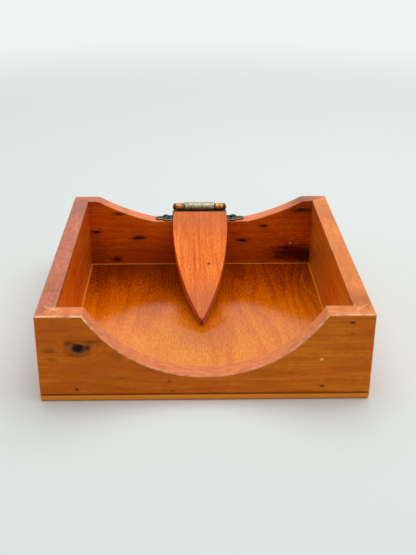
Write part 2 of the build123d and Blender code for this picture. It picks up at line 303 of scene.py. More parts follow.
# Orange-stained pine, brushed with clear varnish: amber wood with brown growth rings and near-black
# knots, rubbed pale on its edges, under a thin coat that mirrors the room softly.
def pineMaterial(name, looks):
    material, tree, shader = newMaterial(name)
    place = addNode(tree, "ShaderNodeTexCoord").outputs["Object"]
    origin, turn = looks["origin"] * millimetre, looks["turn"].to_euler()
    grain = {"Vector": place, "Location": origin, "Rotation": turn, "Scale": (millimetre,) * 3}
    grain = addNode(tree, "ShaderNodeMapping", grain, vector_type="TEXTURE")
    noises = grainNoises(tree, grain, looks["noises"])
    spots, pushes = boardSpots(tree, grain, noises, looks)
    late = growthRings(tree, grain, noises, looks, pushes)
    colour = addNode(tree, "ShaderNodeValToRGB", {0: woodTone(tree, grain, noises, looks, late)})
    stops = colour.color_ramp.elements
    while len(stops) < len(looks["tones"]):
        stops.new(0.5)
    for index, text in enumerate(looks["tones"]):
        stops[index].position = index / (len(looks["tones"]) - 1)
        stops[index].color = hexColour(text)
    layers = [topSheenLayer(tree, noises, looks)]
    layers += spotLayers(tree, spots)
    layers += bandLayers(tree, grain, looks["bands"])
    layers += scratchLayers(tree, place, noises, looks)
    layers += wearLayers(tree, noises, looks)
    colour = layPaints(tree, colour, layers)

    smooth, coarse = looks["roughness"]
    rough = {0: noises["fibre"], 1: noiseLow, 2: noiseHigh, 3: smooth, 4: coarse}
    rough = addNode(tree, "ShaderNodeMapRange", rough)
    height = {0: noises["fibre"], 1: looks["fibreHeight"], 2: noises["fleck"]}
    height = addNode(tree, "ShaderNodeMath", height, operation="MULTIPLY_ADD")
    bumpDepth = looks["bumpDepth"] * millimetre
    bump = {"Height": height, "Strength": looks["bump"], "Distance": bumpDepth}
    bump = addNode(tree, "ShaderNodeBump", bump)
    tree.links.new(colour, shader.inputs["Base Color"])
    tree.links.new(rough.outputs[0], shader.inputs["Roughness"])
    tree.links.new(bump.outputs[0], shader.inputs["Normal"])
    tree.links.new(bump.outputs[0], shader.inputs["Coat Normal"])
    shader.inputs["Specular IOR Level"].default_value = 0.0  # all the shine is the varnish's
    shader.inputs["Coat IOR"].default_value = looks["coatIor"]
    shader.inputs["Coat Weight"].default_value = looks["coat"]
    shader.inputs["Coat Roughness"].default_value = looks["coatRoughness"]
    return material


# Plated metal: a mottled patina with fine dark pits, bare or darker where wearAndPaintedLight marks it:
# rubbed edges, which on the bronze plate and screws also stand for painted highlights, and painted shade
# under the knuckles.
def metalMaterial(name, looks):
    material, tree, shader = newMaterial(name)
    place = addNode(tree, "ShaderNodeTexCoord").outputs["Object"]
    place = {"Vector": place, "Scale": (millimetre,) * 3}
    place = addNode(tree, "ShaderNodeMapping", place, vector_type="TEXTURE")
    mottle = {"Vector": place, "Scale": 1 / looks["mottle"], "Detail": 5.0, "Roughness": 0.65}
    mottle = addNode(tree, "ShaderNodeTexNoise", mottle)
    speck = {"Vector": place, "Scale": 1 / looks["speck"], "Detail": 3.0, "Roughness": 0.7}
    speck = addNode(tree, "ShaderNodeTexNoise", speck)
    start, full = looks["patches"]
    blend = {0: mottle, 1: start, 2: full}
    blend = addNode(tree, "ShaderNodeMapRange", blend, interpolation_type="SMOOTHSTEP")
    start, full, amount = looks["pitting"]
    pits = {0: speck, 1: start, 2: full, 3: 0.0, 4: amount}
    pits = addNode(tree, "ShaderNodeMapRange", pits, interpolation_type="SMOOTHSTEP")
    wearAndLight = addNode(tree, "ShaderNodeAttribute", attribute_name="wearAndPaintedLight").outputs["Fac"]
    wearAndLight = addNode(tree, "ShaderNodeMath", {0: wearAndLight, 1: looks["wear"]}, operation="MULTIPLY")
    layers = [
        (blend, hexColour(looks["light"])),
        (pits, hexColour(looks["pits"])),
        (wearAndLight, hexColour(looks["wearAndLight"])),
    ]
    colour = layPaints(tree, hexColour(looks["dark"]), layers)
    rough = {0: speck, 1: noiseLow, 2: noiseHigh, 3: looks["smooth"], 4: looks["rough"]}
    rough = addNode(tree, "ShaderNodeMapRange", rough)
    bumpDepth = looks["bumpDepth"] * millimetre
    bump = {"Height": speck, "Strength": looks["bump"], "Distance": bumpDepth}
    bump = addNode(tree, "ShaderNodeBump", bump)
    tree.links.new(colour, shader.inputs["Base Color"])
    tree.links.new(rough.outputs[0], shader.inputs["Roughness"])
    tree.links.new(bump.outputs[0], shader.inputs["Normal"])
    shader.inputs["Metallic"].default_value = looks["metallic"]
    return material


# Shared by every pine board; each one below changes what differs.
pineLooks = {
    "origin": Vector(),  # of the pattern space, which has X along the grain
    "turn": Matrix.Identity(3),
    "flat": False,  # True where knots run through the board along Z
    "tones": ["#863404", "#B55004", "#D26804", "#EA8E1C"],  # from darkest to palest
    "tone": 0.66,
    "shade": (0, 1, 0.0),  # where along the board it starts and ends, and what the tone gains
    "heart": (20, 30, -60),  # the middle of the growth rings
    "taper": 0.08,  # how fast the rings close along the grain
    "spacing": 4.6,  # millimetres from ring to ring
    "lateWood": (0.3, 0.86, 0.9),  # where a ring darkens, is darkest and ends, as shares of the spacing
    "ringDepth": 0.1,  # how much darker late wood is
    # How many millimetres the first two push the rings, and how much the others move the tone.
    "warp": 22.0,
    "ripple": 1.4,
    "blotch": 0.6,
    "streak": 0.38,
    "fibre": 0.45,
    "fleck": 0.5,
    # A feature's length and width in millimetres, and its detail. Real fibres are finer, and these are as
    # coarse as it takes to show.
    "noises": {
        "warp": (170, 40, 2.0),
        "ripple": (16, 3.4, 2.0),
        "blotch": (38, 16, 3.0),
        "streak": (75, 2.4, 3.0),
        "fibre": (15, 0.8, 3.0),
        "fleck": (3.6, 0.7, 2.0),
        "wear": (6, 3, 3.0),
    },
    "stainsAndReflections": [],  # x, y, z, half sizes along and across the grain, colour, strength
    "spots": [],  # x, y, z, half sizes along and across the grain, push on the rings, darkness
    "ragged": 1.3,  # how broken a spot's edge is
    "softRing": (0.2, 1.5),  # how far out a stain or a faint spot is full and ends
    "knotPush": (0.6, 4.5),  # how far out a knot's push is full and ends
    "knotHeart": "#0E0304",
    "knotRimAndShade": "#5A2002",
    "smallKnot": 0.6,  # a spot darker than this has a heart and a rim
    "smallKnotHeart": (0.6, 1.25),  # how far out it is full and ends
    "smallKnotRim": (0.8, 2.2, 0.5),  # the same, and its strength
    "bigKnot": 0.95,  # and one darker than this has all these rings
    "bigKnotRings": [  # how far out each is full and ends, its colour and its strength
        (1.7, 2.7, "#5A2002", 0.4),
        (1.4, 1.7, "#D88A38", 0.25),
        (1.1, 1.5, "#4A1A02", 0.7),
        (0.7, 1.1, "#0E0304", 0.97),
    ],
    "bands": [],  # axis, where it starts and is full, colour, strength
    "scratches": [],
    "scratch": (0.25, 0.72, 0.6),  # how far out it is full and ends, and its strength
    "scratchRagged": 0.5,
    "scratchColour": "#FFC58A",
    # The tops' painted sheen: its colour, how much of it, and how its patches vary.
    "topSheenTint": "#F29466",
    "topAmount": 0.5,
    "topMottle": (0.7, 1.3),  # how dark and how bright its patches are
    "wornColour": "#F0A055",
    "wear": 0.5,
    "leastWear": 0.25,  # the share of it that is left where the worn edge breaks off
    "wornPatches": (0.35, 0.62),  # where in its noise a worn patch starts and is full
    "seamColour": "#241002",
    "grime": 0.9,
    "roughness": (0.38, 0.55),
    "bump": 0.35,
    "bumpDepth": 0.1,
    "fibreHeight": 0.6,  # how high the fibres stand beside the flecks
    "coat": 1.0,
    "coatIor": 1.21,
    "coatRoughness": 0.2,
}
alongY = Matrix.Rotation(pi / 2, 3, "Z")  # for boards whose grain runs from front to back


# The edges that bend by at least so many degrees and whose two ends pass a test.
def sharpEdges(bm, test, least=25):
    found = []
    for edge in bm.edges:
        if len(edge.link_faces) == 2 and edge.calc_face_angle(0) > radians(least):
            if test(*(vert.co for vert in edge.verts)):
                found.append(edge)
    return found


# Round these edges, and mark the new faces in a layer that the material reads.
def bevelEdges(bm, edges, offset, segments=2, layer="wearAndPaintedLight", mark=1.0, clamp=True):
    if not edges:
        return
    made = bmesh.ops.bevel(
        bm, geom=edges, offset=offset, offset_type="OFFSET", segments=segments, profile=0.5, affect="EDGES",
        clamp_overlap=clamp, material=-1,
    )
    marks = bm.faces.layers.float[layer]
    for face in made["faces"]:
        if face.is_valid:
            face[marks] = mark


def addLayers(bm):
    for layer in ("wearAndPaintedLight", "grime", "rim"):
        bm.faces.layers.float.new(layer)


# Draw an arc from a vertex and hand back its far end.
def sweepVertex(bm, vertex, centre, axis, turn, steps):
    made = bmesh.ops.spin(
        bm, geom=[vertex], cent=centre, axis=axis, angle=turn, steps=steps, use_duplicate=False
    )
    return next(item for item in made["geom_last"] if isinstance(item, bmesh.types.BMVert))


# Draw the arc in the XY plane from a vertex through one point to another.
def sweepThrough(bm, vertex, middle, end, steps):
    a, b, c = (Vector(point).to_2d() for point in (vertex.co, middle, end))
    squareA, squareB, squareC = a.length_squared, b.length_squared, c.length_squared
    double = 2 * (a.x * (b.y - c.y) + b.x * (c.y - a.y) + c.x * (a.y - b.y))
    x = (squareA * (b.y - c.y) + squareB * (c.y - a.y) + squareC * (a.y - b.y)) / double
    y = (squareA * (c.x - b.x) + squareB * (a.x - c.x) + squareC * (b.x - a.x)) / double
    centre = Vector((x, y, vertex.co.z))
    first, last = a - centre.to_2d(), c - centre.to_2d()
    turn = atan2(first.cross(last), first.dot(last))
    return sweepVertex(bm, vertex, centre, upward, turn, steps)


def fillOutline(bm):
    bmesh.ops.remove_doubles(bm, verts=bm.verts, dist=tiny)
    bmesh.ops.contextual_create(bm, geom=bm.edges[:])


def thicken(bm, move):
    made = bmesh.ops.extrude_face_region(bm, geom=bm.faces[:])["geom"]
    verts = [item for item in made if isinstance(item, bmesh.types.BMVert)]
    bmesh.ops.translate(bm, vec=move, verts=verts)
    bmesh.ops.recalc_face_normals(bm, faces=bm.faces)


# Cut off what lies beyond a plane, and close the cut.
def cutAway(bm, point, direction):
    geometry = bm.verts[:] + bm.edges[:] + bm.faces[:]
    bmesh.ops.bisect_plane(
        bm, geom=geometry, dist=tiny, plane_co=point, plane_no=direction, clear_outer=True
    )
    bmesh.ops.holes_fill(bm, edges=[edge for edge in bm.edges if edge.is_boundary], sides=0)
    bmesh.ops.recalc_face_normals(bm, faces=bm.faces)


def blockShape(low, high):
    low, high = Vector(low), Vector(high)
    place = Matrix.Translation((low + high) / 2) @ Matrix.Diagonal((high - low).to_4d())
    bm = bmesh.new()
    bmesh.ops.create_cube(bm, size=1, matrix=place)
    return bm


# A round bar or cone from one point to another.
def barShape(radius, start, end, farRadius=None, segments=32):
    start, end = Vector(start), Vector(end)
    turn = (end - start).to_track_quat("Z", "Y").to_matrix().to_4x4()
    farRadius = radius if farRadius is None else farRadius
    bm = bmesh.new()
    bmesh.ops.create_cone(
        bm, cap_ends=True, segments=segments, radius1=radius, radius2=farRadius,
        depth=(end - start).length, matrix=Matrix.Translation((start + end) / 2) @ turn,
    )
    return bm


# Spin an open or closed profile of points right round an axis.
def turnedShape(profile, centre, axis, steps=48):
    bm = bmesh.new()
    verts = [bm.verts.new(point) for point in profile]
    edges = [bm.edges.new(pair) for pair in zip(verts, verts[1:])]
    bmesh.ops.spin(
        bm, geom=verts + edges, cent=centre, axis=axis, angle=2 * pi, steps=steps, use_merge=True,
        use_duplicate=False,
    )
    bmesh.ops.remove_doubles(bm, verts=bm.verts, dist=tiny)
    bmesh.ops.recalc_face_normals(bm, faces=bm.faces)
    return bm


def asObject(bm, name):
    mesh = bpy.data.meshes.new(name)
    bm.to_mesh(mesh)
    bm.free()
    made = bpy.data.objects.new(name, mesh)
    bpy.context.scene.collection.objects.link(made)
    return made


# Cut one shape by others, and hand back the result.
def carve(bm, cutters):
    target = asObject(bm, "target")
    tools = [asObject(cutter, "cutter") for cutter in cutters]
    for tool in tools:
        modifier = target.modifiers.new("cut", "BOOLEAN")
        modifier.operation, modifier.solver, modifier.object = "DIFFERENCE", "EXACT", tool
    result = bpy.data.meshes.new_from_object(target.evaluated_get(bpy.context.evaluated_depsgraph_get()))
    bm = bmesh.new()
    bm.from_mesh(result)
    for spent in (target, *tools):
        bpy.data.meshes.remove(spent.data)
    bpy.data.meshes.remove(result)
    bmesh.ops.remove_doubles(bm, verts=bm.verts, dist=tiny)
    bmesh.ops.dissolve_degenerate(bm, edges=bm.edges, dist=tiny)
    bmesh.ops.recalc_face_normals(bm, faces=bm.faces)
    return bm


def joinShapes(shapes):
    joined = bmesh.new()
    addLayers(joined)
    for shape in shapes:
        mesh = bpy.data.meshes.new("part")
        shape.to_mesh(mesh)
        shape.free()
        joined.from_mesh(mesh)
        bpy.data.meshes.remove(mesh)
    return joined


# Turn a shape into a piece of the scene that rides a body in place of its CAD nodes.
def finishPiece(bm, name, body, material, nodes):
    bmesh.ops.remove_doubles(bm, verts=bm.verts, dist=tiny / 10)
    bmesh.ops.recalc_face_normals(bm, faces=bm.faces)
    bmesh.ops.scale(bm, vec=(millimetre,) * 3, verts=bm.verts)
    piece = asObject(bm, name)
    piece.data.materials.append(material)
    piece.data.polygons.foreach_set("use_smooth", [True] * len(piece.data.polygons))
    piece.data.set_sharp_from_angle(angle=radians(smoothAngle))
    modifier = piece.modifiers.new("weightedNormals", "WEIGHTED_NORMAL")
    modifier.keep_sharp = True
    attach(piece, body)
    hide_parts(*nodes)


# The walls. Their tops are scooped at the front and the back, where depths are below the wall's top.
scoops = {
    "front": {"radius": 79.0, "depth": 39.0, "knee": 1.2, "steps": 72},
    "back": {"radius": 155.0, "depth": 20.0, "knee": 6.0, "steps": 20, "seatDepth": 16.0},
}
kneeSteps = 5


# Draw a wall's scooped top from right to left, with a small round at each knee.
def scoopOutline(bm, first, y, scoop):
    radius, knee = scoop["radius"], scoop["knee"]
    rise = radius - scoop["depth"]  # from the wall's top up to the scoop's centre
    centre = Vector((0, y, tray["top"] + rise))
    reach = sqrt((radius + knee) ** 2 - (rise + knee) ** 2)
    bend = atan2(reach, rise + knee)
    axis = Vector((0, 1, 0))
    vertex = bm.verts.new((reach, y, tray["top"]))
    bm.edges.new((first, vertex))
    vertex = sweepVertex(bm, vertex, (reach, y, tray["top"] - knee), axis, -bend, kneeSteps)
    if "seatDepth" in scoop:
        flat = acos((rise + scoop["seatDepth"]) / radius)
        vertex = sweepVertex(bm, vertex, centre, axis, bend - flat, scoop["steps"])
        across = bm.verts.new((-vertex.co.x, y, vertex.co.z))
        bm.edges.new((vertex, across))
        vertex = sweepVertex(bm, across, centre, axis, bend - flat, scoop["steps"])
    else:
        vertex = sweepVertex(bm, vertex, centre, axis, 2 * bend, scoop["steps"])
    return sweepVertex(bm, vertex, (-reach, y, tray["top"] - knee), axis, -bend, kneeSteps)


# Whether a place lies on one of two opposite sides.
def atSides(value, half):
    return abs(abs(value) - half) < tiny


# A wall along the front of a tray of that width and depth, mitred at both ends.
def wallShape(length, across, scoop=None, holes=()):
    half, outer = length / 2, -across / 2
    bm = bmesh.new()
    corners = [(-half, tray["top"]), (-half, tray["floor"]), (half, tray["floor"]), (half, tray["top"])]
    verts = [bm.verts.new((x, outer, z)) for x, z in corners]
    for pair in zip(verts, verts[1:]):
        bm.edges.new(pair)
    last = scoopOutline(bm, verts[-1], outer, scoop) if scoop else verts[-1]
    bm.edges.new((last, verts[0]))
    fillOutline(bm)
    thicken(bm, (0, tray["wall"], 0))
    if holes:
        bm = carve(bm, holes)
    addLayers(bm)

    def corner(a, b):
        return all(atSides(p.x, half) and abs(p.y - outer) < tiny for p in (a, b))

    bevelEdges(bm, sharpEdges(bm, corner), tray["outerRound"], 4, mark=0.0)
    for side in (-1, 1):
        cutAway(bm, (side * half, outer, 0), (side, 1, 0))

    def low(point):
        return point.z < tray["floor"] + tiny

    def mitred(a, b):
        onCut = [abs(p.y - outer - (half - abs(p.x))) < 10 * tiny for p in (a, b)]
        return a.x * b.x > 0 and all(onCut)

    def topOutside(point):
        rounded = point.z > tray["top"] - tiny and point.y < outer + tray["outerRound"]
        return not low(point) and (point.y < outer + tiny or rounded)

    def topOutline(a, b):
        return topOutside(a) and topOutside(b) and not mitred(a, b)

    def inside(a, b):
        return not (low(a) and low(b)) and not mitred(a, b)

    def seam(a, b):
        return low(a) and low(b) and max(a.y, b.y) < outer + tray["wall"] - 1 and not mitred(a, b)

    bevelEdges(bm, sharpEdges(bm, topOutline, 40), tray["topRound"], 3, clamp=False)
    bevelEdges(bm, sharpEdges(bm, inside, 40), tray["softEdge"], 2, clamp=False)
    bevelEdges(bm, sharpEdges(bm, seam), tray["seamEdge"], 1, "grime", clamp=False)
    rim, wearAndLight = bm.faces.layers.float["rim"], bm.faces.layers.float["wearAndPaintedLight"]
    bm.normal_update()
    # Faces that look up near the top get the painted sheen.
    for face in bm.faces:
        height = face.calc_center_median().z
        if face.normal.z > tray["rimTilt"] and height > tray["floor"] + tray["rimAbove"]:
            face[rim] = 1.0
        if height < tray["top"] - tray["handled"]:
            face[wearAndLight] *= tray["scoopWear"]
    return bm


def bradCutters(places, inward):
    inward = Vector(inward)
    cutters = []
    for place in places:
        start, end = Vector(place) - inward, Vector(place) + inward * tray["bradHole"]
        cutters.append(barShape(tray["bradHead"], start, end, segments=tray["bradSides"]))
    return cutters


# Scratches in the tops of the two front corners, from one place on the tray to another.
leftScratches = [
    ((-90.4, -85.5, 55), (-80.2, -93.6, 55)),
    ((-84.5, -84.7, 55), (-87.5, -94.3, 55)),
    ((-88.4, -88.2, 55), (-82.7, -89.2, 55)),
    ((-89.0, -91.5, 55), (-81.5, -86.5, 55)),
    ((-87.5, -86.0, 55), (-79.5, -91.5, 55)),
]
rightScratches = [
    ((91.6, -85.4, 55), (84.1, -93.2, 55)),
    ((86.5, -87.9, 55), (84.3, -97.4, 55)),
    ((83.8, -86.1, 55), (87.4, -92.4, 55)),
]

# The front wall: a cluster of knots at its left, paler towards its right, its worn edges cream.
frontLooks = pineLooks | {
    "tone": 0.61,
    "shade": (-40, 90, 0.12),
    "topSheenTint": "#E88C60",
    "wornColour": "#FFD4A8",
    "wear": 0.9,
    "scratches": leftScratches + rightScratches,
    "stainsAndReflections": [(65.8, 0, 26.6, 1.1, 0.9, "#FFD25A", 0.95)],  # yellow filler over a brad
    "spots": [
        (-63.6, 0, 38.8, 4.2, 1.3, 0.0, 0.6),
        (-76.4, 0, 38.0, 3.0, 2.2, 0.0, 0.6),
        (-74.0, 0, 30.6, 4.0, 1.3, 0.0, 0.45),
        (-87.6, 0, 33.6, 4.0, 1.8, 0.0, 0.5),
        (-86.1, 0, 27.4, 3.0, 1.4, 0.0, 0.4),
        (-50.0, 0, 29.0, 4.0, 2.4, 0.0, 0.3),
        (-71.4, 0, 34.8, 3.5, 2.6, 9.0, 0.97),
        (-66.2, 0, 35.3, 1.1, 1.2, 0.0, 0.75),
        (81.7, 0, 50.1, 1.3, 0.7, 0.0, 0.75),
        (82.4, 0, 42.7, 1.3, 0.9, 0.0, 0.5),
        (-73.7, 0, 8.1, 0.7, 0.7, 0.0, 0.85),
        (-20.6, 0, 12.7, 1.2, 1.0, 0.0, 0.6),
        (-19.0, 0, 6.6, 1.1, 0.9, 0.0, 0.55),
        (66.9, 0, 8.9, 1.2, 0.6, 0.0, 0.65),
    ],
}

# The back wall: darker and redder towards its foot, as painted shade, with long knots and a dark patch at
# its right.
backLooks = pineLooks | {
    "tones": ["#7E2402", "#B04404", "#D66006", "#EE8218"],
    "heart": (-40, 60, 90),
    "ragged": 2.2,
    "knotRimAndShade": "#551602",
    # Painted shade, darker towards the foot.
    "bands": [("Z", 30.0, 8.0, "#7A2400", 0.4)],
    "stainsAndReflections": [
        (68.3, 0, 20.9, 0.9, 0.8, "#FFE0C0", 0.95),
        (78, 0, 54, 16, 5, "#7A3E30", 0.65),
        (-82, 0, 54, 14, 5, "#8A4A34", 0.5),
    ],
    "spots": [
        (76.0, 0, 40.0, 18.0, 16.0, 0.0, 0.32),
        (77.0, 0, 13.0, 20.0, 10.0, 0.0, 0.6),
        (-80.0, 0, 16.0, 14.0, 12.0, 0.0, 0.3),
        (-61.3, 0, 45.1, 3.4, 0.9, 3.0, 0.7),
        (-79.3, 0, 30.6, 3.4, 1.1, 3.0, 0.85),
        (-46.9, 0, 25.6, 4.2, 1.3, 4.0, 0.92),
        (-64.3, 0, 8.2, 3.6, 1.5, 3.0, 0.9),
        (47.2, 0, 34.9, 3.0, 0.9, 3.0, 0.75),
        (31.5, 0, 23.5, 4.2, 1.2, 4.0, 0.92),
        (60.0, 0, 9.5, 6.0, 1.4, 4.0, 0.85),
        (70.0, 0, 13.0, 12.0, 3.2, 5.0, 0.95),
        (78.5, 0, 10.5, 8.5, 5.0, 0.0, 0.95),
        (76.0, 0, 47.5, 7.0, 1.8, 3.0, 0.7),
        (66.0, 0, 17.0, 8.0, 1.2, 3.0, 0.7),
    ],
}

# The side walls, whose grain runs from front to back. The left one is redder, with a greyer painted sheen on
# its top.
rightLooks = pineLooks | {
    "turn": alongY,
    "tones": ["#7E2804", "#B04A08", "#D0640C", "#E88626"],
    "tone": 0.9,
    "heart": (30, 40, -40),
    "topSheenTint": "#EA8444",
    "scratches": rightScratches,
    "stainsAndReflections": [
        (-78, 0, 55, 12, 4, "#8E4C24", 0.55),
        (-20, 0, 55, 45, 4, "#B86A30", 0.35),
        (62, 0, 55, 22, 4, "#A86028", 0.4),
    ],
}
leftLooks = pineLooks | {
    "turn": alongY,
    "tones": ["#7E2804", "#B84008", "#D8560A", "#E88626"],
    "tone": 0.8,
    "heart": (-30, -50, -70),
    "topSheenTint": "#B8705A",
    "topAmount": 0.75,
    "wornColour": "#7A3E28",
    "wear": 0.6,
    "scratches": leftScratches,
    "stainsAndReflections": [
        (-60, 0, 55, 18, 4, "#8A4838", 0.3),
        (10, 0, 55, 22, 4, "#96503C", 0.2),
        (72, 0, 55, 20, 4, "#7E4230", 0.4),
    ],
}

# Each wall is made as the front one and turned into its place.
sideBrads = [(side * bradY, -width / 2, z) for side in (-1, 1) for z in tray["cornerBrads"]]
wide, deep = (width, depth), (depth, width)
walls = {
    "frontWall": {
        "node": "front_wall", "turn": 0, "size": wide, "scoop": scoops["front"], "looks": frontLooks,
    },
    "rightWall": {
        "node": "right_wall", "turn": 90, "size": deep, "brads": sideBrads, "looks": rightLooks,
    },
    "backWall": {
        "node": "back_wall", "turn": 180, "size": wide, "scoop": scoops["back"], "looks": backLooks,
    },
    "leftWall": {
        "node": "left_wall", "turn": -90, "size": deep, "brads": sideBrads, "looks": leftLooks,
    },
}
for name, wall in walls.items():
    holes = bradCutters(wall.get("brads", []), (0, 1, 0))
    shape = wallShape(*wall["size"], wall.get("scoop"), holes)
    turn = Matrix.Rotation(radians(wall["turn"]), 3, "Z")
    bmesh.ops.rotate(shape, cent=(0, 0, 0), matrix=turn, verts=shape.verts)
    pine = pineMaterial(name + "Pine", wall["looks"])
    finishPiece(shape, name, "tray", pine, [wall["node"]])
print("walls made")

# The bottom board, flush with the walls outside. Its varnish is thicker and glossier than theirs, so it
# mirrors them and the leaf.
boardLooks = pineLooks | {
    "turn": alongY,
    "flat": True,
    "tones": ["#7A2400", "#B45000", "#DE7404", "#F29E30"],
    "tone": 0.78,
    # Painted shade: the floor darkens towards the back, for the back wall's shadow on it and its dark
    # reflection in the varnish.
    "shade": (-35, 70, -0.66),
    "heart": (0, 20, -110),
    "streak": 0.16,
    "blotch": 0.3,
    "fibre": 0.36,
    "fleck": 0.95,
    "bump": 0.8,
    "coatIor": 1.38,
    "coatRoughness": 0.08,
    "knotRimAndShade": "#4E1600",
    # Painted shade: a big dark patch at the back of the floor.
    "spots": [(74, 52, 0, 26, 46, 0.0, 0.45)],
    # Painted reflection: a dark patch on the floor round the leaf's point, for the leaf mirrored in the
    # varnish.
    "stainsAndReflections": [(-20, 0, 0, 28, 22, "#A84000", 0.5)],
    "bands": [  # the glue line round the floor, and the board's outer rim, paler: the walls' tone and painted light from below
        ("X", 85.0, 85.8, "#FFA840", 0.8),
        ("Y", 82.2, 83.0, "#F89428", 0.7),
        ("Y", 84.0, 85.0, "#F08C10", 1.0),
        ("X", 87.0, 88.0, "#F08C10", 1.0),
    ],
    "scratches": [
        ((75.3, 66, 4.2), (74.6, 50, 4.2)),
        ((74.9, 46, 4.2), (76.2, 33, 4.2)),
        ((77.5, 40, 4.2), (80.0, 28.5, 4.2)),
    ],
    "scratchColour": "#E88A28",
}


def boardShape():
    places = [(x, side * bradY, 0) for x in tray["bottomBrads"] for side in (-1, 1)]
    places += [(side * bradX, y, 0) for side in (-1, 1) for y in tray["bottomBrads"]]
    bm = carve(blockShape(boardLow, boardHigh), bradCutters(places, upward))
    addLayers(bm)

    def outside(a, b):
        upright = abs(a.z - b.z) > 1
        corner = all(atSides(p.x, width / 2) and atSides(p.y, depth / 2) for p in (a, b))
        rim = all(atSides(p.x, width / 2) or atSides(p.y, depth / 2) for p in (a, b))
        return (upright and corner) or (rim and a.z < tiny and b.z < tiny)

    def top(a, b):
        return min(a.z, b.z) > tray["floor"] - tiny

    bevelEdges(bm, sharpEdges(bm, outside), tray["outerRound"], 4, mark=0.0)
    bevelEdges(bm, sharpEdges(bm, top), tray["seamEdge"], 1, "grime", clamp=False)
    return bm


boardPine = pineMaterial("bottomPine", boardLooks)
finishPiece(boardShape(), "bottomBoard", "tray", boardPine, ["bottom_board"])
print("bottom board made")

# The leaf, and the recess under it for the hinge's strap. Both lie along -Y from the pin before they tilt.
leaf = {
    "length": 107.0,
    "half": (leafHigh.x - leafLow.x) / 2,
    "thickness": 8.5,
    "widest": 10.0,  # from its back end
    "fromPin": 13.8,
    "under": -0.8,  # the underside, below the pin's centre line
    "tipHeight": 4.7,  # of the point's upper corner, over the tray's floor
    "gap": 0.25,  # between the point and the floor
    "softEdge": 0.55,
    "steps": 40,
}
strap = {
    "half": 11.3,
    "thickness": 1.1,
    "reach": 33.0,
    "overlap": 1.0,  # how far it reaches over the wing's wide body
    "corner": 2.0,
    "edge": 0.25,
    "recessGap": 0.2,
    "screwSpread": 12.0,
    "screwFromPin": 24.0,
    "screwHead": 2.55,  # radius
    "screwHole": 1.35,
}


# The slope at which the leaf's point is at its height over the floor.
def leafSlope():
    run, top = leaf["fromPin"] + leaf["length"], leaf["under"] + leaf["thickness"]
    drop = pin.z - tray["floor"] - leaf["tipHeight"]
    return asin(drop / hypot(run, top)) + atan2(top, run)


slope = leafSlope()
leafPlace = Matrix.Translation(pin) @ Matrix.Rotation(slope, 4, "X")


def leafShape():
    back, half, under = -leaf["fromPin"], leaf["half"], leaf["under"]
    run = leaf["length"] - leaf["widest"]
    radius = (run * run + half * half) / (2 * half)
    endHalf = half - radius + sqrt(radius * radius - leaf["widest"] ** 2)
    turn = asin(leaf["widest"] / radius) + asin(run / radius)
    bm = bmesh.new()
    ends = []
    for side in (-1, 1):
        ends.append(bm.verts.new((side * endHalf, back, under)))
        centre = (side * (half - radius), back - leaf["widest"], under)
        sweepVertex(bm, ends[-1], centre, upward, -side * turn, leaf["steps"])
    bm.edges.new(ends)
    fillOutline(bm)
    thicken(bm, (0, 0, leaf["thickness"]))
    gap, roof = strap["recessGap"], strap["thickness"] / 2
    halfRecess, end = strap["half"] + gap, strap["reach"] + gap
    bm = carve(bm, [blockShape((-halfRecess, -end, under - 1), (halfRecess, 0, roof))])
    bmesh.ops.transform(bm, matrix=leafPlace, verts=bm.verts)
    cutAway(bm, (0, 0, tray["floor"] + leaf["gap"]), (0, 0, -1))
    addLayers(bm)
    flat = leafPlace.inverted()

    def inRecess(point):  # its edges stay sharp
        point = flat @ point
        return abs(point.x) < halfRecess + 0.3 and point.z < roof + 0.15

    rounded = sharpEdges(bm, lambda a, b: not (inRecess(a) and inRecess(b)), 30)
    bevelEdges(bm, rounded, leaf["softEdge"], 3)
    return bm


# Paler and pinker pine than the tray's, in long straight streaks, under a thin varnish.
leafLooks = pineLooks | {
    "origin": pin,
    "turn": Matrix.Rotation(slope, 3, "X") @ alongY,
    "flat": True,
    "tones": ["#9C3408", "#CC5616", "#EE7622", "#FFA050"],
    "heart": (-60, 9, -70),
    "spacing": 4.0,
    "blotch": 0.3,
    "streak": 0.7,
    "fibre": 0.7,
    "fleck": 0.85,
    "noises": pineLooks["noises"] | {"streak": (160, 1.5, 3.0)},
    "spots": [(-68.2, -5.6, 0, 0.9, 0.7, 0.0, 0.88)],
    # Darker and pinker near the back end and towards the point, and painted shade at the point itself.
    "bands": [
        ("X", 48.0, 20.0, "#B8603E", 0.5),
        ("X", 74.0, 104.0, "#B8603E", 0.6),
        ("X", 117.0, 120.5, "#3A1204", 0.8),
    ],
    "wornColour": "#FFC890",
    "wear": 0.65,
    "coat": 0.6,
}
leafPine = pineMaterial("leafPine", leafLooks)
finishPiece(leafShape(), "pressureLeaf", "leaf", leafPine, ["pressure_leaf"])
print("leaf made, slope", round(slope * 180 / pi, 3))

# Shared by every metal. Real pits are finer, and these are as coarse as it takes to show.
metalLooks = {
    "speck": 1 / 3,  # millimetres
    "patches": (0.38, 0.62),  # where in its noise a pale patch starts and is full
    "pitting": (0.58, 0.7, 0.6),  # where a pit starts and is full, and its strength
    "bump": 0.25,
    "bumpDepth": 0.1,
}
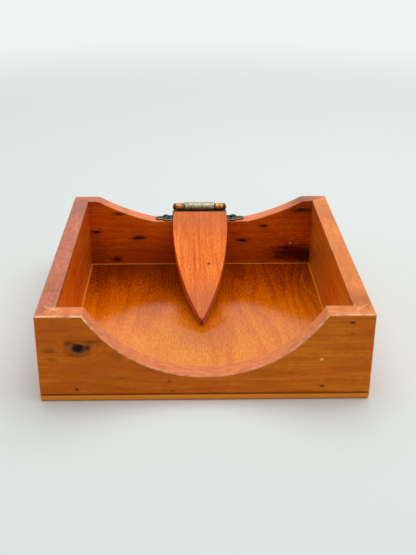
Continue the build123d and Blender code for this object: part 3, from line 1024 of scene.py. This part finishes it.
# The size of a patch in millimetres, and how worn, smooth, rough and metallic each finish is.
finishes = {
    # Blackened bronze plate on stamped steel: nearly black, brown-grey on its edges, which are rubbed and
    # carry painted highlights.
    "darkBronze": {
        "dark": "#161617", "light": "#403B38", "pits": "#0A0A0A", "wearAndLight": "#A8A096",
        "mottle": 1.4, "wear": 0.75, "smooth": 0.34, "rough": 0.55, "metallic": 0.75,
    },
    # Copper plate, brushed and lacquered: warm orange-brown, with painted shade underneath.
    "antiqueCopper": {
        "dark": "#6E4224", "light": "#B8824A", "pits": "#3A2212", "wearAndLight": "#3A1E0E",
        "mottle": 3.4, "wear": 0.8, "smooth": 0.28, "rough": 0.45, "metallic": 0.9,
    },
    # The same blackened plate in matt black: painted shade, so that the moving wing and collars show as the
    # shadow in the gaps round the knuckles.
    "shadowBlackPlate": {
        "dark": "#08080A", "light": "#1E1C1B", "pits": "#040404", "wearAndLight": "#2E2B29",
        "mottle": 1.8, "wear": 0.6, "smooth": 0.45, "rough": 0.65, "metallic": 0.6,
    },
    # Copper plate gone nearly black with age: dark, with a brown gleam.
    "blackenedCopper": {
        "dark": "#2A1A12", "light": "#6E4628", "pits": "#140C08", "wearAndLight": "#7A5434",
        "mottle": 2.4, "wear": 0.6, "smooth": 0.26, "rough": 0.42, "metallic": 0.9,
    },
    # Unpolished brass: dull greenish grey in small patches, with painted shade underneath.
    "antiqueBrass": {
        "dark": "#6A644E", "light": "#AAA282", "pits": "#484436", "wearAndLight": "#2C281C",
        "mottle": 1.6, "wear": 0.85, "smooth": 0.3, "rough": 0.5, "metallic": 0.85,
    },
    # Drawn steel: plain grey, slightly dulled.
    "drawnSteel": {
        "dark": "#6A6A68", "light": "#8E8D8A", "pits": "#3E3D3B", "wearAndLight": "#A6A5A2",
        "mottle": 3.0, "wear": 0.3, "smooth": 0.3, "rough": 0.45, "metallic": 1.0,
    },
}
metals = {name: metalMaterial(name, metalLooks | looks) for name, looks in finishes.items()}

# The hinge's knuckles and the domed tips of its pin. Places along X are from the middle of the pin, and
# the bore is a radius too.
knuckles = {
    "centreRadius": 3.6,
    "centreHalf": 11.3,
    "endRadius": 3.0,
    "endNear": 11.9,
    "endFar": 18.0,
    "bore": 1.65,
    "edge": 0.35,
    "paintedUnderShade": (1.4, 0.1),  # painted shade: how fast it darkens as a face turns down, and how late it starts
    "steps": 56,
    "tipNear": 18.15,
    "tipLength": 2.3,
}


# A knuckle on the pin: a ring with softened rims, darker underneath with painted shade.
def ringShape(near, far, radius, bore, edge):
    soft = edge * 0.3
    outline = [(near, bore), (near, radius - edge), (near + soft, radius - soft), (near + edge, radius)]
    outline += [(far - edge, radius), (far - soft, radius - soft), (far, radius - edge), (far, bore)]
    outline += outline[:1]
    profile = [pin + Vector((x, 0, r)) for x, r in outline]
    bm = turnedShape(profile, pin, alongX, knuckles["steps"])
    addLayers(bm)
    wearAndLight = bm.faces.layers.float["wearAndPaintedLight"]
    gain, late = knuckles["paintedUnderShade"]
    bm.normal_update()
    for face in bm.faces:
        face[wearAndLight] = min(max(-gain * face.normal.z - late, 0.0), 1.0)
    return bm


def centreKnuckleShape():
    half, radius = knuckles["centreHalf"], knuckles["centreRadius"]
    return ringShape(-half, half, radius, knuckles["bore"], knuckles["edge"])


def endKnuckleShape(side):
    near, far = sorted((side * knuckles["endNear"], side * knuckles["endFar"]))
    return ringShape(near, far, knuckles["endRadius"], knuckles["bore"], knuckles["edge"])


# A domed tip with a rim, on the end of the pin.
def tipShape(side):
    radius, length = knuckles["endRadius"], knuckles["tipLength"]
    rim = [(0.0, 0.0), (0.0, radius - 0.25), (0.25, radius), (0.55, radius), (0.7, radius - 0.18)]
    dome = [(0.95, radius - 0.1), (1.35, radius - 0.45), (1.75, radius - 1.1), (2.1, radius - 1.95)]
    end = [(length, 0.6), (length, 0.0)]
    profile = [pin + Vector((side * (knuckles["tipNear"] + x), 0, r)) for x, r in rim + dome + end]
    return turnedShape(profile, pin, alongX)


# The moving wing: a strap under the leaf, a wide body before it, a neck up to the centre knuckle, and
# collars that close the gaps between the knuckles, all matt black to show as the shadow in those gaps.
# Heights are from the pin's centre line.
wing = {
    "low": -0.95,
    "high": -0.1,
    "near": 3.8,  # where the wide body starts, from the pin
    "edge": 0.2,
    "sideGap": 0.1,  # how much narrower than the leaf it is at each side
    "leafGap": 0.3,
    "neckNear": 1.0,  # past the bore
    "neckFar": 4.5,
    "neckSideGap": 0.2,
    "neckInset": 0.02,
    "collarRadius": 2.75,
    "collarEdge": 0.1,
    "collarGaps": (0.06, 0.02),  # to the centre knuckle and to the end knuckle
}


# The flat strap under the leaf, with two countersunk holes.
def strapShape():
    low, near, reach = -strap["thickness"] / 2, -leaf["fromPin"] + strap["overlap"], -strap["reach"]
    bm = bmesh.new()
    corners = [(-1, reach), (1, reach), (1, near), (-1, near)]
    verts = [bm.verts.new((x * strap["half"], y, low)) for x, y in corners]
    for pair in zip(verts, verts[1:] + verts[:1]):
        bm.edges.new(pair)
    fillOutline(bm)
    bmesh.ops.bevel(
        bm, geom=verts[:2], offset=strap["corner"], segments=6, profile=0.5, affect="VERTICES", material=-1
    )
    thicken(bm, (0, 0, strap["thickness"]))
    cutters = []
    for side in (-1, 1):
        foot = Vector((side * strap["screwSpread"] / 2, -strap["screwFromPin"], low))
        through = Vector((0, 0, strap["thickness"]))
        ends = foot - through * tiny, foot + through * (1 + tiny)
        cutters.append(barShape(strap["screwHead"], *ends, strap["screwHole"]))
    bm = carve(bm, cutters)
    addLayers(bm)

    def outside(a, b):
        rim = all(p.y < reach + strap["corner"] + 0.5 or abs(p.x) > strap["half"] - tiny for p in (a, b))
        return rim and abs(a.z - b.z) < tiny

    bevelEdges(bm, sharpEdges(bm, outside), strap["edge"], 2)
    bmesh.ops.transform(bm, matrix=leafPlace, verts=bm.verts)
    return bm


def wideBodyShape():
    half = leaf["half"] - wing["sideGap"]
    far = leaf["fromPin"] - wing["leafGap"]
    bm = blockShape((-half, -far, wing["low"]), (half, -wing["near"], wing["high"]))
    addLayers(bm)
    bevelEdges(bm, sharpEdges(bm, lambda a, b: True), wing["edge"], 2)
    bmesh.ops.transform(bm, matrix=leafPlace, verts=bm.verts)
    return bm


def neckShape():
    half = knuckles["centreHalf"] - wing["neckSideGap"]
    near = knuckles["bore"] + wing["neckNear"]
    low, high = wing["low"] + wing["neckInset"], wing["high"] - wing["neckInset"]
    bm = blockShape((-half, -wing["neckFar"], low), (half, -near, high))
    addLayers(bm)
    bmesh.ops.transform(bm, matrix=leafPlace, verts=bm.verts)
    return bm


def collarShape(side):
    toCentre, toEnd = wing["collarGaps"]
    near, far = sorted((side * (knuckles["centreHalf"] + toCentre), side * (knuckles["endNear"] - toEnd)))
    return ringShape(near, far, wing["collarRadius"], knuckles["bore"], wing["collarEdge"])


finishPiece(
    centreKnuckleShape(), "hingeLeafKnuckle", "leaf", metals["antiqueBrass"],
    ["hinge_leaf_wing"],
)
# The wing in matt black, as painted shade between the knuckles and the leaf.
finishPiece(
    joinShapes([strapShape(), wideBodyShape(), neckShape(), collarShape(-1), collarShape(1)]),
    "hingeLeafStrap", "leaf", metals["shadowBlackPlate"], ["hinge_leaf_wing"],
)

# The fixed wing: a plate on the back wall's seat, arms up to the end knuckles, and its rear edge turned up
# under all three knuckles, a dark sheet that shows as the shadow line beneath them.
plate = {
    "rear": depth / 2 - 0.5,  # just inside the back wall's outer face
    "deep": 11.0,
    "bodyHalf": 20.6,
    "spade": 12.9,
    "thickness": 1.2,
    "edge": 0.3,
    "arm": 1.2,
    "armEdge": 0.25,
    "lip": 0.2,  # how far forward of the rear the turned-up edge starts
    "lipGap": 0.12,
    "lipPast": 0.1,  # how far the middle one goes past the end knuckles' near faces
    "lipOverlap": 0.05,
    "arcSteps": 8,
}
seat = tray["top"] - scoops["back"]["seatDepth"]
plateTop = seat + plate["thickness"]
# One quarter of the plate's wavy outline, as shares of the spade's length and of the half depth: each
# arc goes through the first point to the second.
spadeArcs = [
    ((0.09, 0.86), (0.19, 0.91)),
    ((0.39, 0.98), (0.55, 0.70)),
    ((0.63, 0.55), (0.72, 0.52)),
    ((0.89, 0.42), (1.0, 0.0)),
]


def plateShape():
    middle = Vector((pin.x, plate["rear"] - plate["deep"] / 2, seat))
    bm = bmesh.new()
    ends = {}

    def spot(side, rear, share):
        x = plate["bodyHalf"] + share[0] * plate["spade"]
        return middle + Vector((side * x, rear * share[1] * plate["deep"] / 2, 0))

    for side in (-1, 1):
        for rear in (-1, 1):
            vertex = ends[side, rear] = bm.verts.new(spot(side, rear, (0, 1)))
            for through, end in spadeArcs:
                through, end = spot(side, rear, through), spot(side, rear, end)
                vertex = sweepThrough(bm, vertex, through, end, plate["arcSteps"])
    for rear in (-1, 1):
        bm.edges.new((ends[-1, rear], ends[1, rear]))
    fillOutline(bm)
    thicken(bm, (0, 0, plate["thickness"]))
    addLayers(bm)
    rim = sharpEdges(bm, lambda a, b: min(a.z, b.z) > plateTop - tiny, 40)
    bevelEdges(bm, rim, plate["edge"], 2)
    return bm


def armShape(side):
    near, far = sorted((side * knuckles["endNear"], side * knuckles["endFar"]))
    half = plate["arm"] / 2
    bm = blockShape((pin.x + near, pin.y - half, seat), (pin.x + far, pin.y + half, pin.z))
    addLayers(bm)
    bevelEdges(bm, sharpEdges(bm, lambda a, b: abs(a.z - b.z) > 1), plate["armEdge"], 2)
    return bm


# A part of the plate's rear edge, turned up under a knuckle: dark metal put where the shadow line under it
# shows.
def lipShape(near, far, radius):
    low = (pin.x + near, plate["rear"] - plate["lip"], seat)
    bm = blockShape(low, (pin.x + far, pin.y + plate["arm"] / 2, pin.z - radius))
    addLayers(bm)
    bevelEdges(bm, sharpEdges(bm, lambda a, b: min(a.z, b.z) > plateTop), plate["armEdge"], 2)
    return bm


inner, outer = knuckles["endNear"] + plate["lipPast"], plate["bodyHalf"]
joint = inner - plate["lipOverlap"]
lips = [
    lipShape(-inner, inner, knuckles["centreRadius"] + plate["lipGap"]),
    lipShape(-outer, -joint, knuckles["endRadius"]),
    lipShape(joint, outer, knuckles["endRadius"]),
]
finishPiece(
    joinShapes([plateShape(), *lips, armShape(-1), armShape(1)]), "hingePlate", "tray",
    metals["darkBronze"], ["hinge_frame_wing"],
)
finishPiece(
    joinShapes([endKnuckleShape(-1), endKnuckleShape(1)]), "hingeEndKnuckles", "tray",
    metals["antiqueCopper"], ["hinge_frame_wing"],
)
for side, word in ((-1, "left"), (1, "right")):
    finishPiece(
        tipShape(side), "pinTip" + word.title(), "tray", metals["blackenedCopper"],
        ["pin_tip_" + word],
    )

# The slotted, domed screws that hold the plate down.
frameScrew = {
    "head": 2.9,
    "dome": 2.1,
    # from the middle outwards, in shares of the head's radius and of the dome's height
    "domeCurve": [(0.0, 1.0), (0.3, 0.96), (0.55, 0.84), (0.78, 0.6), (0.93, 0.32)],
    "headEdge": 0.08,
    "shank": 1.3,
    "point": 2.6,
    "length": 12.0,
    "spread": 51.0,
    "slotWidth": 0.9,
    "slotDepth": 0.9,
    "slotAngles": {"left": 65.0, "right": 20.0},
    "wearAndHighlightRing": (0.2, 0.8),  # the share of the dome's foot that is worn and painted pale as a highlight, and how much
    "steps": 40,
}


def frameScrewShape(side, slotAngle):
    place = Vector((pin.x + side * frameScrew["spread"] / 2, plate["rear"] - plate["deep"] / 2, plateTop))
    head, dome, shank = frameScrew["head"], frameScrew["dome"], frameScrew["shank"]
    length, edge = frameScrew["length"], frameScrew["headEdge"]
    outline = [(head * r, dome * z) for r, z in frameScrew["domeCurve"]]
    outline += [(head, edge), (head - edge, 0.0), (shank, 0.0), (shank, frameScrew["point"] - length)]
    outline += [(0.0, -length)]
    profile = [place + Vector((r, 0, z)) for r, z in outline]
    bm = turnedShape(profile, place, upward, frameScrew["steps"])
    half, sunk = frameScrew["slotWidth"] / 2, frameScrew["slotDepth"]
    slot = blockShape((-2 * head, -half, -sunk), (2 * head, half, sunk))
    turn = Matrix.Translation(place + upward * dome) @ Matrix.Rotation(radians(slotAngle), 4, "Z")
    bmesh.ops.transform(slot, matrix=turn, verts=slot.verts)
    bm = carve(bm, [slot])
    addLayers(bm)
    aboveSlot = place.z + dome - sunk + 0.05
    bevelEdges(bm, sharpEdges(bm, lambda a, b: min(a.z, b.z) > aboveSlot, 40), edge, 1)
    # The dome's foot: rubbed, and painted pale as a highlight.
    wearAndLight = bm.faces.layers.float["wearAndPaintedLight"]
    share, amount = frameScrew["wearAndHighlightRing"]
    for face in bm.faces:
        if place.z < face.calc_center_median().z < place.z + dome * share:
            face[wearAndLight] = amount
    return bm


for side, word in ((-1, "left"), (1, "right")):
    shape = frameScrewShape(side, frameScrew["slotAngles"][word])
    finishPiece(
        shape, "frameScrew" + word.title(), "tray", metals["darkBronze"],
        ["frame_screw_" + word],
    )
print("hinge made")

# CAD nodes that stay, and their metals.
kept = {
    "hinge_pin": "drawnSteel",
    "corner_brads": "drawnSteel",
    "bottom_brads": "drawnSteel",
    "leaf_screw_left": "antiqueBrass",
    "leaf_screw_right": "antiqueBrass",
}
for node, metal in kept.items():
    materials = frame["nodes"][node].data.materials
    if len(materials):
        for index in range(len(materials)):
            materials[index] = metals[metal]
    else:
        materials.append(metals[metal])

# Pale paper that turns into an evenly lit backdrop far from the object, under one soft lamp.
studio = {
    "paper": "#DADFDD",
    "paperRoughness": 0.95,
    "paperSize": 6000,
    "paperDrop": 0.05,
    "backdrop": "#F0F3F2",
    "backdropFrom": (0.55, 1.15),  # metres from the object
    "skyForLight": 0.48,
    "lampSize": 1.6,
    "lampPlace": (0.18, 0.2, 1.25),
    "lampPower": 17.0,
}


# 1 for the rays that see the backdrop, straight, mirrored or through glass, and 0 for those that light.
def seenRays(tree):
    rays = addNode(tree, "ShaderNodeLightPath").outputs
    seen = {0: rays["Is Camera Ray"], 1: rays["Is Glossy Ray"]}
    seen = addNode(tree, "ShaderNodeMath", seen, operation="MAXIMUM")
    return addNode(tree, "ShaderNodeMath", {0: seen, 1: rays["Is Transmission Ray"]}, operation="MAXIMUM")


# Uncoated paper: matt and even.
def paperMaterial():
    paper, tree, shader = newMaterial("studioPaper")
    shader.inputs["Base Color"].default_value = hexColour(studio["paper"])
    shader.inputs["Roughness"].default_value = studio["paperRoughness"]
    shader.inputs["Specular IOR Level"].default_value = 0.0
    start, end = studio["backdropFrom"]
    far = addNode(tree, "ShaderNodeTexCoord").outputs["Object"]
    far = addNode(tree, "ShaderNodeVectorMath", {0: far}, operation="LENGTH").outputs["Value"]
    far = addNode(tree, "ShaderNodeMapRange", {0: far, 1: start, 2: end}, interpolation_type="SMOOTHSTEP")
    share = addNode(tree, "ShaderNodeMath", {0: far, 1: seenRays(tree)}, operation="MULTIPLY")
    glow = addNode(tree, "ShaderNodeEmission", {"Color": hexColour(studio["backdrop"]), "Strength": 1.0})
    mixed = addNode(tree, "ShaderNodeMixShader", {0: share, 1: shader.outputs[0], 2: glow})
    tree.links.new(mixed.outputs[0], tree.nodes["Material Output"].inputs["Surface"])
    return paper


shape = bmesh.new()
bmesh.ops.create_grid(shape, x_segments=1, y_segments=1, size=studio["paperSize"])
bmesh.ops.translate(shape, vec=(0, 0, -studio["paperDrop"]), verts=shape.verts)
bmesh.ops.scale(shape, vec=(millimetre,) * 3, verts=shape.verts)
floor = asObject(shape, "studioFloor")
floor.data.materials.append(paperMaterial())

world = bpy.data.worlds.new("studio")
bpy.context.scene.world = world
world.use_nodes = True
tree = world.node_tree
strength = addNode(tree, "ShaderNodeMapRange", {0: seenRays(tree), 3: studio["skyForLight"], 4: 1.0})
background = tree.nodes["Background"]
background.inputs["Color"].default_value = hexColour(studio["backdrop"])
tree.links.new(strength.outputs[0], background.inputs["Strength"])

lamp = bpy.data.lights.new("overhead", "AREA")
lamp.shape = "SQUARE"
lamp.size = studio["lampSize"]
lamp.energy = studio["lampPower"]
lampObject = bpy.data.objects.new("overhead", lamp)
lampObject.location = studio["lampPlace"]
lampObject.rotation_euler = Vector(studio["lampPlace"]).to_track_quat("Z", "Y").to_euler()
bpy.context.scene.collection.objects.link(lampObject)

# The camera that took the photograph, as the tray's edges in it give its place: metres and radians, and
# millimetres for the lens and the sensor.
camera = {
    "place": (-0.0091246, -0.513811, 0.2721517),
    "yaw": -0.0246,
    "down": 0.4364,
    "roll": 0.0049,
    "lens": 55.24,
    "sensor": 36.0,
    "nearest": 0.01,
}
cameraData = bpy.data.cameras.new("photoView")
cameraData.lens = camera["lens"]
cameraData.sensor_width = camera["sensor"]
cameraData.clip_start = camera["nearest"]
cameraObject = bpy.data.objects.new("photoView", cameraData)
cameraObject.matrix_world = (
    Matrix.Translation(camera["place"])
    @ Matrix.Rotation(camera["yaw"], 4, "Z")
    @ Matrix.Rotation(pi / 2 - camera["down"], 4, "X")
    @ Matrix.Rotation(camera["roll"], 4, "Z")
)
bpy.context.scene.collection.objects.link(cameraObject)
bpy.context.scene.camera = cameraObject
bpy.context.scene.view_settings.view_transform = "Standard"
print("studio made")
